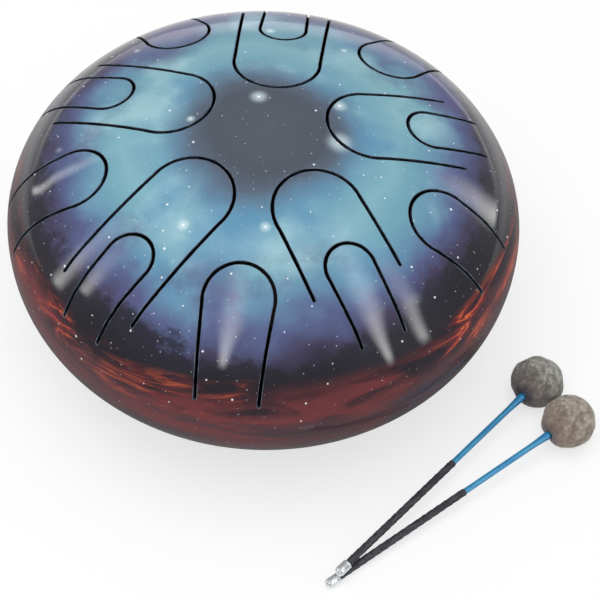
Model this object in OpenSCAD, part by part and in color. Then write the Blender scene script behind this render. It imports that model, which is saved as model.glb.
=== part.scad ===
// Steel tongue drum: a closed drum of two domed steel shells with fifteen tongues
// cut in its top, and its two felt-headed mallets lying beside it.
// +Z is up, and the origin is on the drum's axis, on the surface that it stands on.

/* [Drum] */
// Outer diameter of the drum at its rim
drum_d = 330; // [310:5:350]
// Thickness of the steel sheet
sheet_t = 2; // [1.6:0.1:2.4]
// Outside radius of the upper dome
dome_r = 312; // [296:1:340]
// Outside radius of the upper shoulder, between the dome and the rim
shoulder_r = 57; // [52:1:62]
// Outside radius of the lower dome
base_dome_r = 446.75; // [430:0.25:480]
// Outside radius of the lower shoulder
base_shoulder_r = 73; // [68:1:78]
// Height of the weld band that joins the shells
weld_h = 2; // [1:0.5:4]
// Diameter of the sound port in the middle of the lower shell
port_d = 60; // [40:1:80]

/* [Tongues] */
// Width of the slots cut around the tongues
slot_w = 1.8; // [1.2:0.1:2.2]
// Turn of the whole tongue pattern about the drum's axis
pattern_turn = -6.4; // [-18:0.1:18]
// Tip radius of a long tongue, to the middle of its slot
long_tip_r = 27.6; // [26:0.1:29]
// Half width of a long tongue at its root
long_root_half = 29.2; // [28:0.1:30]
// Tip radius of a nested tongue, which lies in the root of a long one
nested_tip_r = 15.3; // [13:0.1:17]
// Half width of a nested tongue at its root
nested_root_half = 14.4; // [13:0.1:16]
// Tip radius of an outer tongue, between two long ones
outer_tip_r = 21.4; // [19:0.1:23]
// Half width of an outer tongue at its root
outer_root_half = 18.8; // [17:0.1:20]
// Clear gap across each tongue's root, where it bends
root_gap = 0.1; // [0.1:0.05:0.3]
// Distance that a slot runs on past its tongue's root
slot_run_on = 1.8; // [1.2:0.1:3]

/* [Feet] */
// Number of rubber feet
foot_count = 3; // [3:1:5]
// Distance of each foot from the drum's axis
foot_place_r = 74; // [60:1:90]
// Diameter of a foot's pad
foot_d = 22; // [18:1:28]
// Air left under the middle of the lower shell
ground_gap = 6; // [4:0.5:10]
// Diameter of the neck that passes through the shell
neck_d = 8; // [6:0.5:10]
// Diameter of the barb that holds the foot inside the shell
barb_d = 12; // [11:0.5:16]
// Height of the barb above the shell's inside
barb_h = 6; // [4:0.5:9]

/* [Mallets] */
// Distance from the middle of the end cap's dome to the middle of the head
handle_l = 190.5; // [170:0.5:210]
// Diameter of the felt head
head_d = 34.6; // [28:0.2:38]
// Diameter of the rubber core inside the head
core_d = 22; // [18:0.5:24]
// Diameter of the coloured shaft
shaft_d = 3.8; // [3:0.1:4.4]
// Diameter of the grip sleeve
grip_d = 4.9; // [4.6:0.1:6]
// Distance from the cap to the far end of the grip sleeve
grip_l = 98.5; // [80:0.5:110]
// Diameter of the domed end cap
cap_d = 6.5; // [6.2:0.1:8]
// Length of the end cap's straight part
cap_l = 6.7; // [5:0.1:8]
// Clear distance from the drum's rim to the nearer head
head_gap = 14.5; // [8:0.5:40]
// Direction of the nearer head, seen from the drum's axis
head_azimuth = -21.5; // [-30:0.1:-10]
// Heading of the handle that lies on top
heading = 47.1; // [40:0.1:55]
// Distance from the lower handle's end to where the upper one crosses it
lap_l = 7.4; // [7:0.1:14]

/* [Hidden] */
$fn = 120;

// How far a cutting shape runs past what it cuts
cut_over = 2;
// Radial clearance of a part pushed into or over another
fit_gap = 0.05;
// Least gap between things that lie beside or on each other without being joined
rest_gap = 0.3;
// Chamfer round the foot's lower edge
foot_chamfer = 1.5;
// Depth that the shaft enters the core past its middle
core_bite = 5;
// Width and depth of the dimple where the shaft enters the felt
dimple_d = 8.4;
dimple_depth = 1.8;

// Places along the long tongues' centre lines, as shares of the drum's radius
long_tip_shares = [0.232, 0.234, 0.233, 0.238, 0.241];
long_root_shares = [0.696, 0.740, 0.821, 0.829, 0.870];
nested_tip_shares = [0.549, 0.549, 0.570, 0.577, 0.621];
nested_root_shares = [0.893, 0.851, 0.946, 0.946, 0.961];
outer_tip_shares = [0.572, 0.598, 0.591, 0.626, 0.603];
outer_width_share = 0.975;
// Turns of the long tongues off their even places, in degrees
long_turn_trims = [0, 0, 1.8, 0, 0];
// Heights of the outer slots' ends above the rim, as shares of the shoulder's radius
outer_end_shares = [0.31, 0.51, 0.32, 0.32, 0.25];
// A leg starts just inside the tip's round, at this share of its radius
leg_share = 0.995;
// The cutting wedges of the shells' profile reach this many dome heights out
wedge_share = 3;

drum_r = drum_d / 2;
// Radius and depth of each shoulder's and dome's centre
shoulder_c = drum_r - shoulder_r;
dome_drop = sqrt(pow(dome_r - shoulder_r, 2) - pow(shoulder_c, 2));
dome_h = dome_r - dome_drop;
base_shoulder_c = drum_r - base_shoulder_r;
base_dome_rise = sqrt(pow(base_dome_r - base_shoulder_r, 2) - pow(base_shoulder_c, 2));
base_h = base_dome_r - base_dome_rise;
// Heights above the surface: the weld band's lower and upper edge
weld_z = ground_gap + base_h;
rim_z = weld_z + weld_h;
top_z = rim_z + dome_h;

head_r = head_d / 2;
cap_r = cap_d / 2;
grip_r = grip_d / 2;
shaft_r = shaft_d / 2;
// The lower handle lies on its cap and its head
low_tilt = asin((head_r - cap_r) / handle_l);
// The upper handle's end rests on the lower grip, clear of the lower cap's edge
edge_reach = max(0, lap_l - cap_l);
edge_rise = sqrt(pow(cap_r + rest_gap, 2) - pow(min(edge_reach, cap_r), 2));
rest_rise = cap_r + rest_gap + max(grip_r, edge_rise - rest_gap);
high_end_z = cap_r + lap_l * sin(low_tilt) + rest_rise;
high_tilt = asin((head_r - high_end_z) / handle_l);
// The handles spread from their crossing so that the heads lie side by side
low_reach = handle_l - lap_l;
head_pitch = head_d + 1.5 * rest_gap;
spread = acos((handle_l * handle_l + low_reach * low_reach - head_pitch * head_pitch)
  / (2 * handle_l * low_reach));
head_reach = drum_r + head_gap + head_r;
cross_x = head_reach * cos(head_azimuth) - handle_l * cos(high_tilt) * cos(heading);
cross_y = head_reach * sin(head_azimuth) - handle_l * cos(high_tilt) * sin(heading);
low_heading = heading - spread;

function long_turn(i) = pattern_turn + 72 * i + 36 - 90 + long_turn_trims[i];
function outer_turn(i) = pattern_turn + 72 * i - 90;
// Half width of a leg's line at a place u along the centre line
function leg_half(u, tip_u, tip_r, root_u, root_half) =
  tip_r + (root_half - tip_r) * (u - tip_u - tip_r) / (root_u - tip_u - tip_r);
// Height of an outer slot's end above the rim, and where its tongue's root can stand
function outer_end_h(i) = outer_end_shares[i] * shoulder_r;
function outer_inner_r(i) =
  shoulder_c + sqrt(pow(shoulder_r - sheet_t, 2) - pow(outer_end_h(i), 2));
function outer_root_u(i) =
  sqrt(pow(outer_inner_r(i), 2) - pow(outer_root_half + slot_w, 2)) - slot_run_on / 2;

module circle_band(r) {
  difference() {
    circle(r = r);
    circle(r = r - sheet_t);
  }
}

// Half section of a domed shell: a dome's arc and a shoulder's arc that meet on one line
module shell_section(dome, drop, shoulder, centre) {
  far_x = wedge_share * centre;
  far_y = (wedge_share - 1) * drop;
  intersection() {
    translate([0, -drop]) circle_band(dome);
    polygon([[0, -drop], [far_x, far_y], [0, far_y]]);
  }
  intersection() {
    translate([centre, 0]) circle_band(shoulder);
    polygon([[centre, 0], [far_x, 0], [far_x, far_y]]);
  }
}

module top_sheet() {
  translate([0, 0, rim_z]) rotate_extrude()
    shell_section(dome_r, dome_drop, shoulder_r, shoulder_c);
}

// Plan of a tongue: a round tip and two legs to end_u, grown by a distance all round
module tongue_plan(tip_u, tip_r, root_u, root_half, grow, end_u) {
  tip_c = tip_u + tip_r;
  leg_start = leg_share * (tip_r + grow);
  leg_end = leg_half(end_u, tip_u, tip_r, root_u, root_half) + grow;
  translate([tip_c, 0]) circle(r = tip_r + grow);
  polygon([[tip_c, -leg_start], [end_u, -leg_end], [end_u, leg_end], [tip_c, leg_start]]);
}

// What a tongue and its slot take out of the shell: all but the strip past the root line
module tongue_cut(tip_u, tip_r, root_u, root_half, end_u, line_u, low_z) {
  far_u = end_u + cut_over;
  near_half = leg_half(line_u, tip_u, tip_r, root_u, root_half) - slot_w / 2;
  far_half = leg_half(far_u, tip_u, tip_r, root_u, root_half) - slot_w / 2;
  translate([0, 0, low_z]) linear_extrude(height = top_z + cut_over - low_z) difference() {
    tongue_plan(tip_u, tip_r, root_u, root_half, slot_w / 2, end_u);
    polygon([[line_u, -near_half], [far_u, -far_half], [far_u, far_half], [line_u, near_half]]);
  }
}

module long_cut(i) {
  root_u = long_root_shares[i] * drum_r;
  rotate([0, 0, long_turn(i)])
    tongue_cut(long_tip_shares[i] * drum_r, long_tip_r, root_u, long_root_half,
      root_u, root_u - slot_run_on, rim_z);
}

module nested_cut(i) {
  root_u = nested_root_shares[i] * drum_r;
  rotate([0, 0, long_turn(i)])
    tongue_cut(nested_tip_shares[i] * drum_r, nested_tip_r, root_u, nested_root_half,
      root_u, root_u - slot_run_on, rim_z);
}

module outer_cut(i) {
  rotate([0, 0, outer_turn(i)])
    tongue_cut(outer_tip_shares[i] * drum_r, outer_tip_r, outer_width_share * drum_r,
      outer_root_half, drum_r + cut_over, outer_root_u(i), rim_z + outer_end_h(i));
}

// The moving piece of a tongue, from its tip to its root line
module tongue_piece(tip_u, tip_r, root_u, root_half, line_u) {
  intersection() {
    top_sheet();
    translate([0, 0, rim_z]) linear_extrude(height = dome_h + cut_over)
      tongue_plan(tip_u, tip_r, root_u, root_half, -slot_w / 2, line_u - root_gap);
  }
}

module top_shell() {
  color([0.27, 0.28, 0.44]) difference() {
    top_sheet();
    for (i = [0:4]) long_cut(i);
    for (i = [0:4]) nested_cut(i);
    for (i = [0:4]) outer_cut(i);
  }
}

module long_tongue(i) {
  root_u = long_root_shares[i] * drum_r;
  color([0.37, 0.62, 0.74]) difference() {
    rotate([0, 0, long_turn(i)])
      tongue_piece(long_tip_shares[i] * drum_r, long_tip_r, root_u, long_root_half,
        root_u - slot_run_on);
    nested_cut(i);
  }
}

module nested_tongue(i) {
  root_u = nested_root_shares[i] * drum_r;
  color([0.30, 0.33, 0.52]) rotate([0, 0, long_turn(i)])
    tongue_piece(nested_tip_shares[i] * drum_r, nested_tip_r, root_u, nested_root_half,
      root_u - slot_run_on);
}

module outer_tongue(i) {
  color([0.24, 0.24, 0.38]) rotate([0, 0, outer_turn(i)])
    tongue_piece(outer_tip_shares[i] * drum_r, outer_tip_r, outer_width_share * drum_r,
      outer_root_half, outer_root_u(i));
}

module foot_place(i) {
  rotate([0, 0, 360 * i / foot_count - 90]) translate([foot_place_r, 0, 0]) children();
}

module base_ball(r) {
  translate([0, 0, weld_z + base_dome_rise]) sphere(r = r);
}

module bottom_shell() {
  color([0.33, 0.27, 0.31]) difference() {
    translate([0, 0, weld_z]) rotate_extrude() mirror([0, 1])
      shell_section(base_dome_r, base_dome_rise, base_shoulder_r, base_shoulder_c);
    cylinder(d = port_d, h = weld_z);
    for (i = [0:foot_count - 1]) foot_place(i) cylinder(d = neck_d + 2 * fit_gap, h = weld_z);
  }
}

module rim_weld() {
  color([0.30, 0.20, 0.20]) translate([0, 0, weld_z]) rotate_extrude()
    translate([drum_r - sheet_t, 0]) square([sheet_t, weld_h]);
}

// Height of the lower shell's outside over a place at this distance from the axis
function base_z(r) = weld_z + base_dome_rise - sqrt(pow(base_dome_r, 2) - pow(r, 2));

// A push-in rubber foot: a pad under the shell, a neck through it and a barb inside
module foot(i) {
  pad_top = base_z(foot_place_r + foot_d / 2);
  barb_z = base_z(foot_place_r) + sheet_t;
  color([0.09, 0.09, 0.10]) union() {
    difference() {
      foot_place(i) union() {
        cylinder(d1 = foot_d - 2 * foot_chamfer, d2 = foot_d, h = foot_chamfer);
        translate([0, 0, foot_chamfer]) cylinder(d = foot_d, h = pad_top - foot_chamfer);
      }
      base_ball(base_dome_r);
    }
    foot_place(i) translate([0, 0, foot_chamfer])
      cylinder(d = neck_d, h = barb_z + barb_h - 2 * foot_chamfer);
    intersection() {
      foot_place(i) union() {
        translate([0, 0, barb_z - barb_h]) cylinder(d = barb_d, h = barb_h + barb_h / 2);
        translate([0, 0, barb_z + barb_h / 2]) cylinder(d1 = barb_d, d2 = neck_d, h = barb_h / 2);
      }
      base_ball(base_dome_r - sheet_t);
    }
  }
}

// Puts a shape drawn along +Z, from the cap's middle, where mallet 1 or 2 lies
module mallet_place(m) {
  if (m == 1)
    translate([cross_x, cross_y, high_end_z]) rotate([0, 90 - high_tilt, heading]) children();
  else
    translate([cross_x - lap_l * cos(low_tilt) * cos(low_heading),
      cross_y - lap_l * cos(low_tilt) * sin(low_heading), cap_r])
      rotate([0, 90 - low_tilt, low_heading]) children();
}

module mallet_head(m) {
  color(m == 1 ? [0.45, 0.43, 0.40] : [0.58, 0.55, 0.51]) mallet_place(m) difference() {
    translate([0, 0, handle_l]) sphere(r = head_r);
    translate([0, 0, handle_l]) sphere(d = core_d);
    translate([0, 0, handle_l - head_r - cut_over])
      cylinder(r = shaft_r + fit_gap, h = head_r + cut_over);
    translate([0, 0, handle_l - head_r - cut_over]) cylinder(d1 = dimple_d
      + 2 * cut_over, d2 = shaft_d, h = cut_over + dimple_depth);
  }
}

module mallet_core(m) {
  color([0.15, 0.13, 0.12]) mallet_place(m) difference() {
    translate([0, 0, handle_l]) sphere(d = core_d);
    translate([0, 0, handle_l - core_d])
      cylinder(r = shaft_r + fit_gap, h = core_d + core_bite);
  }
}

module mallet_shaft(m) {
  color([0.22, 0.55, 0.75]) mallet_place(m) cylinder(r = shaft_r, h = handle_l + core_bite);
}

module mallet_grip(m) {
  color([0.20, 0.20, 0.22]) mallet_place(m) translate([0, 0, cap_l]) difference() {
    cylinder(r = grip_r, h = grip_l);
    translate([0, 0, -cut_over]) cylinder(r = shaft_r + fit_gap, h = grip_l + 2 * cut_over);
  }
}

module mallet_cap(m) {
  color([0.80, 0.81, 0.83]) mallet_place(m) difference() {
    rotate_extrude() {
      intersection() {
        circle(r = cap_r);
        translate([0, -cap_r]) square([cap_r, cap_r]);
      }
      square([cap_r, cap_l]);
    }
    cylinder(r = shaft_r + fit_gap, h = cap_l + cut_over);
  }
}

top_shell();
bottom_shell();
rim_weld();
long_tongue(0);  // long_tongue_1
long_tongue(1);  // long_tongue_2
long_tongue(2);  // long_tongue_3
long_tongue(3);  // long_tongue_4
long_tongue(4);  // long_tongue_5
nested_tongue(0);  // nested_tongue_1
nested_tongue(1);  // nested_tongue_2
nested_tongue(2);  // nested_tongue_3
nested_tongue(3);  // nested_tongue_4
nested_tongue(4);  // nested_tongue_5
outer_tongue(0);  // outer_tongue_1
outer_tongue(1);  // outer_tongue_2
outer_tongue(2);  // outer_tongue_3
outer_tongue(3);  // outer_tongue_4
outer_tongue(4);  // outer_tongue_5
foot(0);  // foot_1
foot(1);  // foot_2
foot(2);  // foot_3
mallet_head(1);  // mallet_1_head
mallet_core(1);  // mallet_1_core
mallet_shaft(1);  // mallet_1_shaft
mallet_grip(1);  // mallet_1_grip
mallet_cap(1);  // mallet_1_cap
mallet_head(2);  // mallet_2_head
mallet_core(2);  // mallet_2_core
mallet_shaft(2);  // mallet_2_shaft
mallet_grip(2);  // mallet_2_grip
mallet_cap(2);  // mallet_2_cap
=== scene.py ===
"""Steel tongue drum with its two felt-headed mallets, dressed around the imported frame.

Sizes are in millimetres, as in the workshop drawing, unless a name says otherwise. A
finished mesh is brought to metres in one step, in the same frame as the solids: +Z is
up, and the origin is on the drum's axis on the surface that it stands on.
"""

import logging
import math
import random
from collections import defaultdict
from dataclasses import dataclass
from enum import Enum
from typing import Any, Callable, Iterable, Sequence

import bmesh
import bpy
from mathutils import Matrix, Vector, noise
from mathutils.geometry import delaunay_2d_cdt
from mathutils.kdtree import KDTree

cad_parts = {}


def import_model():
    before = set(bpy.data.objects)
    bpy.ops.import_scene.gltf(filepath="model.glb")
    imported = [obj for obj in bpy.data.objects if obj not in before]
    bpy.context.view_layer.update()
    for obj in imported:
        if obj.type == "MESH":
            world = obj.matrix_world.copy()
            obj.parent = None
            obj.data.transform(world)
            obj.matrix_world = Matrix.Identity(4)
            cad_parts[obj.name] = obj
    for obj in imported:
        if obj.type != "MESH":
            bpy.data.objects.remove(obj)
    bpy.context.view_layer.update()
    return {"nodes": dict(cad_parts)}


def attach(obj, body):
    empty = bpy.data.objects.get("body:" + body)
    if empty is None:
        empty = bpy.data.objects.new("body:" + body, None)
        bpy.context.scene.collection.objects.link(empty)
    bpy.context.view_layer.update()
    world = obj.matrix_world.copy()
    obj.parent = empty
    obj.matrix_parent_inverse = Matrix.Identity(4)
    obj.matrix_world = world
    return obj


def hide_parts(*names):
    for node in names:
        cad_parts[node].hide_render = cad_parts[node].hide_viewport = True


log = logging.getLogger("tongue_drum")

MM = 0.001
Colour = tuple[float, float, float, float]


def srgb(red: float, green: float, blue: float) -> Colour:
    """Turn a colour as it is seen on screen into the linear one that nodes take.

    Args:
        red, green, blue: the seen colour, 0 to 255.

    Returns:
        The linear colour with full opacity.
    """
    def linear(level: float) -> float:
        """Undo the screen's curve for one channel."""
        share = level / 255
        return share / 12.92 if share <= 0.04045 else ((share + 0.055) / 1.055) ** 2.4
    return linear(red), linear(green), linear(blue), 1.0


# ---------------------------------------------------------------- node arithmetic

def operator(operation: str, reflected: bool = False) -> Callable[..., "Signal"]:
    """Make an operator that adds one Math node.

    Args:
        operation: the Math node's operation.
        reflected: whether the signal stands on the operator's right.

    Returns:
        The operator, as a method of Signal.
    """
    def add_node(self: "Signal", *others: "Feed") -> "Signal":
        """Add the Math node over this signal and the other terms."""
        terms = (*others, self) if reflected else (self, *others)
        return self.recipe.node("ShaderNodeMath", {"operation": operation},
                                dict(enumerate(terms)))
    return add_node


class Signal:
    """One output of a node. Plain arithmetic on it adds Math nodes to its recipe.

    turn_from gives the angle whose opposite side is this signal and whose near side is
    the other, and part gives what stands after the decimal point.
    """

    __add__ = __radd__ = operator("ADD")
    __mul__ = __rmul__ = operator("MULTIPLY")
    __sub__, __rsub__ = operator("SUBTRACT"), operator("SUBTRACT", reflected=True)
    __truediv__, __pow__, __abs__ = operator("DIVIDE"), operator("POWER"), operator("ABSOLUTE")
    larger, smaller = operator("MAXIMUM"), operator("MINIMUM")
    turn_from, part = operator("ARCTAN2"), operator("FRACT")

    def __init__(self, recipe: "Recipe", socket: bpy.types.NodeSocket) -> None:
        """Hold a node's output and the recipe that it belongs to."""
        self.recipe = recipe
        self.socket = socket

    def step(self, low: float, high: float) -> "Signal":
        """Rise smoothly from 0 at low to 1 at high."""
        return self.recipe.node(
            "ShaderNodeMapRange", {"interpolation_type": "SMOOTHSTEP", "clamp": True},
            {"Value": self, "From Min": low, "From Max": high})

    def band(self, low: float, full: float, fade: float, gone: float) -> "Signal":
        """Rise from low to full and fall again from fade to gone."""
        return self.step(low, full) * (1 - self.step(fade, gone))

    def sibling(self, output: str) -> "Signal":
        """Return another output of the node that this one comes from."""
        return Signal(self.recipe, self.socket.node.outputs[output])


Feed = Signal | float | Sequence[float]


class Ray(Enum):
    """Facts about a ray of light, as its node names them."""

    FROM_CAMERA = "Is Camera Ray"
    IN_GLOSS = "Is Glossy Ray"
    LENGTH = "Ray Length"


class Recipe:
    """A node tree of a material or of the room, filled from Python expressions."""

    def __init__(self, name: str, room: bool = False) -> None:
        """Start an empty tree."""
        self.holder = (bpy.data.worlds if room else bpy.data.materials).new(name)
        self.holder.use_nodes = True
        self.tree = self.holder.node_tree
        self.tree.nodes.clear()

    def node(self, kind: str, settings: dict[str, Any] | None = None,
             feeds: dict[str | int, Feed] | None = None, output: str | int = 0) -> Signal:
        """Add a node.

        Args:
            kind: the node's type.
            settings: its properties, set first; "stops" fills a colour ramp.
            feeds: values or signals for its inputs, by name or place.
            output: the output to return.

        Returns:
            The chosen output.
        """
        node = self.tree.nodes.new(kind)
        for key, value in (settings or {}).items():
            if key == "stops":
                self._fill_ramp(node.color_ramp, value)
            else:
                setattr(node, key, value)
        for key, value in (feeds or {}).items():
            if isinstance(value, Signal):
                self.tree.links.new(value.socket, node.inputs[key])
            else:
                node.inputs[key].default_value = value
        return Signal(self, node.outputs[output])

    @staticmethod
    def _fill_ramp(ramp: bpy.types.ColorRamp, stops: Sequence[tuple[float, Colour]]) -> None:
        """Set a colour ramp's stops."""
        while len(ramp.elements) < len(stops):
            ramp.elements.new(1.0)
        for element, (place, colour) in zip(ramp.elements, stops):
            element.position = place
            element.color = colour

    def place(self) -> Signal:
        """Return the place on the object, in metres."""
        return self.node("ShaderNodeTexCoord", output="Object")

    def workpiece(self) -> Signal:
        """Return the place in the piece's own frame before it was laid down, in mm."""
        return self.node("ShaderNodeAttribute", {"attribute_name": "workpiece"},
                         output="Vector")

    def ray(self, fact: Ray) -> Signal:
        """Return a fact about the ray of light that meets the surface."""
        return self.node("ShaderNodeLightPath", output=fact.value)

    def along(self, vector: Signal, direction: Sequence[float]) -> Signal:
        """Return how far a vector reaches in a direction."""
        return self.node("ShaderNodeVectorMath", {"operation": "DOT_PRODUCT"},
                         {0: vector, 1: direction}, output="Value")

    def axes(self, vector: Signal) -> tuple[Signal, Signal, Signal]:
        """Split a vector into its three parts."""
        first = self.node("ShaderNodeSeparateXYZ", feeds={"Vector": vector}, output="X")
        return first, first.sibling("Y"), first.sibling("Z")

    def fitted(self, vector: Signal, scale: Sequence[float] = (1, 1, 1),
               shift: Sequence[float] = (0, 0, 0)) -> Signal:
        """Stretch and shift a place before a texture reads it."""
        return self.node("ShaderNodeMapping", None,
                         {"Vector": vector, "Scale": scale, "Location": shift})

    def clouds(self, vector: Signal, scale: float, detail: float = 4.0,
               roughness: float = 0.55, distortion: float = 0.0) -> Signal:
        """Return soft noise between 0 and 1, about its middle."""
        return self.node("ShaderNodeTexNoise", None,
                         {"Vector": vector, "Scale": scale, "Detail": detail,
                          "Roughness": roughness, "Distortion": distortion})

    def ramp(self, value: Feed, stops: Sequence[tuple[float, Colour]]) -> Signal:
        """Turn a value into a colour."""
        return self.node("ShaderNodeValToRGB", {"stops": stops}, {"Fac": value})

    def mix(self, share: Feed, base: Feed, over: Feed) -> Signal:
        """Lay one colour over another by a share."""
        return self.node("ShaderNodeMix", {"data_type": "RGBA"},
                         {0: share, 6: base, 7: over}, output=2)

    def specks(self, plan: Signal, scale: float, size: float, share: float) -> Signal:
        """Scatter round dots over a flat plan.

        Args:
            plan: the place that they are scattered over.
            scale: cells in a unit of length.
            size: a dot's radius as a share of a cell.
            share: share of the cells that have a dot.

        Returns:
            1 in the middle of a dot, and 0 between the dots.
        """
        apart = self.node("ShaderNodeTexVoronoi",
                          {"feature": "F1", "voronoi_dimensions": "2D"},
                          {"Vector": plan, "Scale": scale, "Randomness": 0.92},
                          output="Distance")
        draw = self.axes(apart.sibling("Color"))
        dot = 1 - (apart / (size * (draw[1] * draw[1] + 0.4))).step(0.2, 1.0)
        return dot * draw[0].step(1 - share, 1 - share + 0.01)

    def surface(self, values: dict[str, Feed], relief: Signal | None = None,
                height: float = 0.1, strength: float = 1.0) -> bpy.types.Material:
        """Close the tree with the surface shader.

        Args:
            values: the shader's inputs by name.
            relief: a height pattern between 0 and 1, or None for a smooth surface.
            height: depth of the relief, in mm.
            strength: how strongly the relief shows.

        Returns:
            The finished material.
        """
        feeds = dict(values)
        if relief is not None:
            feeds["Normal"] = self.node("ShaderNodeBump", None, {
                "Height": relief, "Distance": height * MM, "Strength": strength})
        shader = self.node("ShaderNodeBsdfPrincipled", None, feeds)
        return self.close(shader)

    def blend(self, share: Feed, base: Signal, over: Signal) -> Signal:
        """Mix two shaders by a share."""
        return self.node("ShaderNodeMixShader", None, {0: share, 1: base, 2: over})

    def close(self, shader: Signal, kind: str = "Material") -> Any:
        """Join a shader to the output, and return the material or the room."""
        out = self.tree.nodes.new(f"ShaderNodeOutput{kind}")
        self.tree.links.new(shader.socket, out.inputs["Surface"])
        return self.holder


# ---------------------------------------------------------------- finishes

@dataclass(frozen=True)
class Wash:
    """One thin wash of the sky, sprayed in clouds inside a band of it.

    tint, share, shift and the clouds' scale, detail and roughness say how it looks; edge
    is where the clouds start and are full, and reach is where the band does and ends.
    """

    tint: Colour
    share: float
    shift: tuple[float, float, float]
    clouds: tuple[float, float, float]
    edge: tuple[float, float]
    reach: tuple[float, float, float, float]

    def lay(self, recipe: Recipe, place: Signal, zone: Signal, colour: Signal) -> Signal:
        """Lay the wash over a colour."""
        cloud = recipe.clouds(recipe.fitted(place, shift=self.shift), *self.clouds)
        share = cloud.step(*self.edge) * zone.band(*self.reach) * self.share
        return recipe.mix(share, colour, self.tint)


@dataclass(frozen=True)
class NebulaLacquer:
    """Airbrushed night sky under a deep clear coat, from the crown to the foot.

    The first sizes repeat the upper sheet's, and unroll is the length of the dome's
    outside over its radius. side_dip is how much lower on the sky the drum's left and
    right are than its front and back. drift, billow, banks and wander are how far each
    kind of clouds carries the colours off their height.
    """

    rim_z: float = 92.5
    meeting_r: float = 132.14
    meeting: float = 0.4374
    shoulder_c: float = 108.0
    shoulder_r: float = 57.0
    unroll: float = 1.034
    side_dip: float = 0.022
    drift: float = 0.12
    billow: float = 0.055
    banks: float = 0.11
    wander: float = 0.14
    # Share of the way from the crown (0) past the rim (0.5) to the underside (1)
    sky: tuple[tuple[float, Colour], ...] = (
        (0.000, srgb(79, 85, 95)), (0.125, srgb(75, 81, 92)), (0.160, srgb(82, 94, 112)),
        (0.195, srgb(92, 126, 150)), (0.228, srgb(108, 156, 175)),
        (0.285, srgb(124, 170, 183)), (0.325, srgb(106, 156, 173)),
        (0.360, srgb(94, 134, 162)), (0.385, srgb(80, 92, 132)), (0.410, srgb(60, 54, 82)),
        (0.435, srgb(33, 30, 40)), (0.468, srgb(36, 28, 35)), (0.495, srgb(78, 50, 57)),
        (0.560, srgb(76, 56, 63)), (0.750, srgb(58, 48, 55)), (1.000, srgb(44, 40, 46)))
    washes: tuple[Wash, ...] = (
        Wash(srgb(170, 206, 213), 0.6, (0.9, 0.2, 0.5), (20.0, 5.0, 0.5), (0.46, 0.70),
             (0.17, 0.23, 0.33, 0.39)),
        Wash(srgb(72, 128, 168), 0.6, (0.2, 0.7, 0.1), (15.0, 4.0, 0.5), (0.50, 0.68),
             (0.17, 0.23, 0.33, 0.39)),
        Wash(srgb(82, 76, 122), 0.75, (0.5, 0.5, 0.9), (14.0, 7.0, 0.6), (0.50, 0.66),
             (0.28, 0.35, 0.39, 0.43)))

    def make(self) -> bpy.types.Material:
        """Mix the finish."""
        recipe = Recipe("nebula_lacquer")
        place = recipe.place()
        x, y, z = recipe.axes(place)
        out = (x * x + y * y) ** 0.5
        swing = out.turn_from(z - self.rim_z * MM) / math.pi
        swing = swing + abs(x) / out * swing.step(0.22, 0.36) * self.side_dip
        drift = recipe.clouds(recipe.fitted(place, shift=(0.31, 0.12, 0.0)), 10.0, 3.0)
        billow = recipe.clouds(recipe.fitted(place, shift=(0.07, 0.40, 0.2)), 30.0, 6.0,
                               0.55, 0.4)
        zone = swing + (drift - 0.5) * self.drift + (billow - 0.5) * self.billow
        colour = recipe.ramp(zone, self.sky)
        for wash in self.washes:
            colour = wash.lay(recipe, place, zone, colour)
        bank = recipe.clouds(recipe.fitted(place, (1.0, 1.0, 1.5), (0.1, 0.8, 0.4)), 42.0,
                             9.0, 0.66)
        dusk = (swing + (bank - 0.5) * self.banks).band(0.408, 0.424, 0.468, 0.490)
        colour = recipe.mix(dusk * 0.85, colour, srgb(30, 28, 37))
        colour = self._embers(recipe, place, swing, colour)
        plan = self._plan(recipe, (x, y), out, z - self.rim_z * MM)
        colour = self._stars(recipe, plan, swing, colour)
        grain = recipe.clouds(place, 700.0, 2.0)
        return recipe.surface({
            "Base Color": colour, "Roughness": 0.36 + grain * 0.12,
            "Specular IOR Level": 0.15, "Coat Weight": 1.0, "Coat Roughness": 0.04,
            "Coat IOR": 1.5}, grain, 0.02, 0.25)

    def _embers(self, recipe: Recipe, place: Signal, swing: Signal, colour: Signal) -> Signal:
        """Lay smouldering smoke round the waist, with thin glowing veins in it."""
        wander = recipe.clouds(recipe.fitted(place, (1.0, 1.0, 0.4), (0.6, 0.3, 0.0)), 5.0, 2.0)
        level = swing + (wander - 0.5) * self.wander
        flow = recipe.fitted(place, (9.0, 9.0, 40.0), (0.4, 0.0, 0.3))
        smoke = recipe.clouds(flow, 1.0, 7.0, 0.58, 0.8)
        waist = level.band(0.452, 0.480, 0.520, 0.62)
        colour = recipe.mix(smoke.step(0.42, 0.60) * waist * 0.85, colour, srgb(120, 50, 54))
        colour = recipe.mix(smoke.step(0.44, 0.34) * waist * 0.6, colour, srgb(52, 38, 48))
        warp = recipe.clouds(recipe.fitted(place, (11.0, 11.0, 66.0), (0.0, 0.9, 0.1)),
                             1.0, 6.0, 0.58, 1.0)
        vein, glow = (1 - (abs(warp - 0.5) * narrow).step(0.0, 1.0)
                      for narrow in (34.0, 10.0))
        patch = recipe.clouds(recipe.fitted(place, shift=(0.7, 0.2, 0.6)), 9.0, 3.0)
        lit = patch.step(0.46, 0.60) * level.band(0.440, 0.458, 0.482, 0.510)
        colour = recipe.mix(glow * lit * 0.72, colour, srgb(178, 50, 44))
        return recipe.mix(vein * lit * 0.85, colour, srgb(230, 114, 62))

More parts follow.
